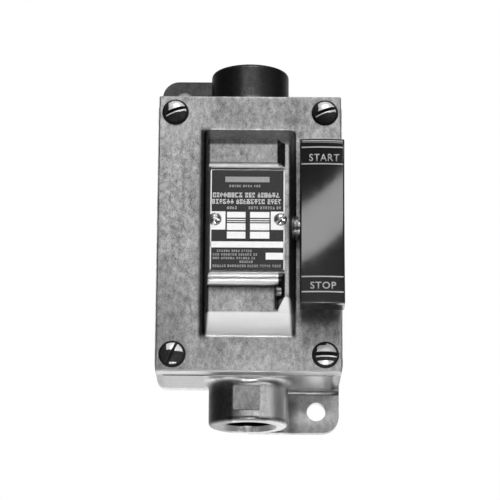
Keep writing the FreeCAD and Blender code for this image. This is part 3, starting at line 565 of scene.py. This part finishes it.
def paint_head_light_shade(x, z, p, hw, ang):
    """Painted light on the cover screw heads: a near-black rim as painted shade, a painted highlight mostly on the side
    above the slot, and painted shade on the rest.
    """
    r = math.hypot(x, z)
    if r > 0.84:
        return 2
    if ang == 0:
        if z > 0.16 and x > -0.62 and r < 0.80 and not (z > 0.64 and x < 0.05):
            return 3
        if z < -0.50 and abs(x) < 0.58 and r < 0.80:
            return 3
        return 3 if -0.22 < p < -0.13 and x > -0.7 else 4
    if ang > 45:
        if p > 0 and z > 0.22 and x > -0.42 and r < 0.79:
            return 3
        if p < 0 and z > 0.12 and r < 0.80:
            return 3
        if z < -0.66 and -0.25 < x < 0.35 and r < 0.79:
            return 3
        return 4
    if p > hw + 0.03 and r < 0.79 and x > -0.50:
        return 3
    if p < -hw and -p < hw + 0.09 + 0.10 * max(0.0, x) and r < 0.82:
        return 3
    return 4


round_head("cover_screw_heads", [(sx * 36.5, sz * 60.4, FACE_Y, 6.5, 3.75, 1.3, 1.7, a) for sx, sz, a in
           ((-1, 1, 20), (1, 1, 20), (-1, -1, 67), (1, -1, 0))], "cover_screws", paint_head_light_shade)
round_head("nameplate_screw_heads", [(x, 0.0, PLATE_Y, 3.1, 1.6, 0.8, 0.8, a) for x, a in ((-16.4, 75), (14.6, 40))], "nameplate_screws")


# ------------------------------------------------------------------ nameplate face
def boxes(name, rects, y0, y1, mat, bev=0.0):
    """Many flat bars in one piece: rects of x0, x1, z0, z1."""
    verts, faces = [], []
    for x0, x1, z0, z1 in rects:
        k = len(verts)
        for y in (y0, y1):
            verts += [(x0, y, z0), (x1, y, z0), (x1, y, z1), (x0, y, z1)]
        faces += [(k, k + 1, k + 2, k + 3), (k + 4, k + 7, k + 6, k + 5)]
        for i in range(4):
            j = (i + 1) % 4
            faces.append((k + i, k + 4 + i, k + 4 + j, k + j))
    return mesh_obj(name, verts, faces, mat, smooth=False)


def px_x(u):
    return PX0 + (u - 209.0) * (PX1 - PX0) / (284.5 - 209.0)


def px_z(v):
    return PHH - (v - 168.5) * 2 * PHH / (271.5 - 168.5)


def R(u0, v0, u1, v1):
    return (px_x(u0), px_x(u1), px_z(v1), px_z(v0))


rnd = random.Random(7)
bars = []
mid_rows = []
# border
bars += [(PX0 + 0.05, PX1 - 0.05, PHH - 0.85, PHH - 0.05), (PX0 + 0.05, PX1 - 0.05, -PHH + 0.05, -PHH + 0.6),
         (PX0 + 0.05, PX0 + 0.55, -PHH + 0.6, PHH - 0.85), (PX1 - 0.55, PX1 - 0.05, -PHH + 0.6, PHH - 0.85)]


small = []


def greek(u0, u1, v0, v1, cell, gap, word=(3, 8)):
    """A row of small broken blocks that stands for a line of print; no letters."""
    bars = mid_rows if v1 - v0 > 3.5 else small
    u, left = u0, rnd.randint(*word)
    h = (v1 - v0) / 5.0
    while u < u1 - cell:
        w = cell * (0.85 + 0.3 * rnd.random())
        t = w * 0.36
        for k in range(5):
            c = rnd.random()
            if k in (0, 4) and c < 0.78 or k == 2 and c < 0.6:
                bars.append(R(u, v0 + k * h, u + w, v0 + (k + 1) * h))
            elif c < 0.75:
                bars.append(R(u, v0 + k * h, u + t, v0 + (k + 1) * h))
                if c < 0.5:
                    bars.append(R(u + w - t, v0 + k * h, u + w, v0 + (k + 1) * h))
            else:
                bars.append(R(u + w * 0.3, v0 + k * h, u + w * 0.3 + t, v0 + (k + 1) * h))
        u += w + gap
        left -= 1
        if left == 0:
            u += cell * 0.75
            left = rnd.randint(*word)


bars += [R(209.2, 168.6, 284.2, 170.6)]
greek(228, 262, 185.6, 187.8, 1.7, 0.8)
greek(211.5, 283, 193.4, 198.2, 2.9, 0.75)
greek(210.8, 283, 200.0, 204.8, 2.9, 0.75)
greek(226, 236, 207.2, 210.0, 1.8, 0.8)
greek(248, 281, 207.2, 210.0, 1.8, 0.8)
# a blank field where a mark would be
# table
for v0, v1 in ((212.8, 218.6), (224.2, 231.0), (232.6, 239.4)):
    bars += [R(226, v0, 244.8, v1), R(249.4, v0, 269, v1)]
bars += [R(226, 219.9, 244.8, 221.0), R(249.4, 219.9, 269, 221.0), R(226, 222.2, 244.8, 223.0), R(249.4, 222.2, 269, 223.0)]
bars += [R(210.0, 212.3, 224.4, 230.6), R(270.4, 212.3, 284.0, 230.6)]
bars += [R(209.4, 242.3, 284.0, 248.4)]
for v, (a, b) in zip((250.6, 254.2, 257.8), ((216, 252), (212, 258), (212, 256))):
    greek(a, b, v, v + 2.2, 1.6, 0.7)
greek(239, 254, 261.4, 263.6, 1.6, 0.7)
greek(212, 282.5, 265.4, 267.8, 1.6, 0.7)
bars += [R(265.4, 253.4, 284.0, 260.2)]
bars += [R(209.2, 270.3, 284.2, 271.3)]
face = boxes("nameplate_print", bars, PLATE_Y - 0.06, PLATE_Y + 0.02, M["plate_bright"])
field = boxes("nameplate_blank_field", [R(224.0, 177.4, 269.0, 182.8)], PLATE_Y - 0.06, PLATE_Y + 0.02, M["print_small"])
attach(field, "enclosure")
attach(face, "enclosure")
fine = boxes("nameplate_small_print", small, PLATE_Y - 0.06, PLATE_Y + 0.02, M["print_small"])
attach(fine, "enclosure")
heads = boxes("nameplate_heading_rows", mid_rows, PLATE_Y - 0.06, PLATE_Y + 0.02, M["print_mid"])
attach(heads, "enclosure")


# ------------------------------------------------------------------ stage
def area(name, loc, target, sx, sy, power, roll=0.0, spread=180.0):
    l = bpy.data.lights.new(name, "AREA")
    l.shape = "RECTANGLE"
    l.size, l.size_y = sx, sy
    l.energy = power
    l.spread = math.radians(spread)
    o = bpy.data.objects.new(name, l)
    bpy.context.scene.collection.objects.link(o)
    d = Vector(target) - Vector(loc)
    q = d.to_track_quat("-Z", "Y")
    o.rotation_euler = (q.to_matrix().to_4x4() @ Matrix.Rotation(math.radians(roll), 4, "Z")).to_euler()
    o.location = loc
    o.visible_camera = False
    return o


floor = mesh_obj("floor", [(-14000, -14000, -2600), (14000, -14000, -2600), (14000, 14000, -2600), (-14000, 14000, -2600)], [(0, 1, 2, 3)],
                 surface("floor_pale", 0.80, 0.84, (0.7, 0.8), 0.0, 3.0, 20.0, 0.02, 0.1), smooth=False)
fb = next(n for n in floor.data.materials[0].node_tree.nodes if n.type == "BSDF_PRINCIPLED")
fb.inputs["Emission Color"].default_value = (1, 1, 1, 1)
fb.inputs["Emission Strength"].default_value = 0.62
floor.visible_glossy = False
floor.visible_diffuse = False

w = bpy.data.worlds.new("studio")
bpy.context.scene.world = w
w.use_nodes = True
nt = w.node_tree
nt.nodes.clear()
out = nt.nodes.new("ShaderNodeOutputWorld")
tc = nt.nodes.new("ShaderNodeTexCoord")


def lobe(d, p, s):
    v = Vector(d).normalized()
    dot = nt.nodes.new("ShaderNodeVectorMath")
    dot.operation = "DOT_PRODUCT"
    dot.inputs[1].default_value = v
    nt.links.new(tc.outputs["Generated"], dot.inputs[0])
    mx = nt.nodes.new("ShaderNodeMath")
    mx.operation = "MAXIMUM"
    mx.inputs[1].default_value = 0.0
    nt.links.new(dot.outputs["Value"], mx.inputs[0])
    pw = nt.nodes.new("ShaderNodeMath")
    pw.operation = "POWER"
    pw.inputs[1].default_value = p
    nt.links.new(mx.outputs[0], pw.inputs[0])
    ml = nt.nodes.new("ShaderNodeMath")
    ml.operation = "MULTIPLY"
    ml.inputs[1].default_value = s
    nt.links.new(pw.outputs[0], ml.inputs[0])
    return ml


total = nt.nodes.new("ShaderNodeMath")
total.operation = "ADD"
total.inputs[0].default_value = 0.0
total.inputs[1].default_value = 0.07
for d, p, s in (((0.0, 0.55, -1.0), 4.0, 2.1), ((0.1, 1.0, -0.3), 3.0, 1.1), ((0.0, -0.5, 0.87), 7.0, 0.6)):
    lb = lobe(d, p, s)
    ad = nt.nodes.new("ShaderNodeMath")
    ad.operation = "ADD"
    nt.links.new(total.outputs[0], ad.inputs[0])
    nt.links.new(lb.outputs[0], ad.inputs[1])
    total = ad
bg = nt.nodes.new("ShaderNodeBackground")
nt.links.new(total.outputs[0], bg.inputs["Strength"])
bg.inputs["Color"].default_value = (1, 1, 1, 1)
white = nt.nodes.new("ShaderNodeBackground")
white.inputs["Color"].default_value = (1, 1, 1, 1)
white.inputs["Strength"].default_value = 1.0
lp = nt.nodes.new("ShaderNodeLightPath")
mixs = nt.nodes.new("ShaderNodeMixShader")
nt.links.new(lp.outputs["Is Camera Ray"], mixs.inputs[0])
nt.links.new(bg.outputs[0], mixs.inputs[1])
nt.links.new(white.outputs[0], mixs.inputs[2])
nt.links.new(mixs.outputs[0], out.inputs[0])

T = Vector((0.0, -0.048, -0.008))
area("band", T + Vector((0.10, -1.55, 0.42)), T, 1.5, 0.30, 5.0, roll=-12.0)
area("right_low", T + Vector((1.05, -0.95, -0.08)), T, 0.9, 0.42, 4.0)
area("top_key", T + Vector((0.10, -0.70, 0.95)), T, 0.6, 0.40, 5.0)
area("hub_low", (0.02, -0.50, -0.62), (0.0, -0.015, -0.088), 0.30, 0.16, 0.07, spread=16.0)

# ------------------------------------------------------------------ camera
cam_d = bpy.data.cameras.new("camera")
cam = bpy.data.objects.new("camera", cam_d)
bpy.context.scene.collection.objects.link(cam)
cam.location = (0.0, -1.128, -0.290)
d = Vector((0.0003, -0.048, -0.009)) - cam.location
q = d.to_track_quat("-Z", "Y")
cam.rotation_euler = (q.to_matrix().to_4x4() @ Matrix.Rotation(math.radians(0.35), 4, "Z")).to_euler()
cam_d.lens = 166.9
cam_d.sensor_width = 36.0
cam_d.clip_start = 0.05
bpy.context.scene.camera = cam
bpy.context.scene.view_settings.view_transform = "Standard"
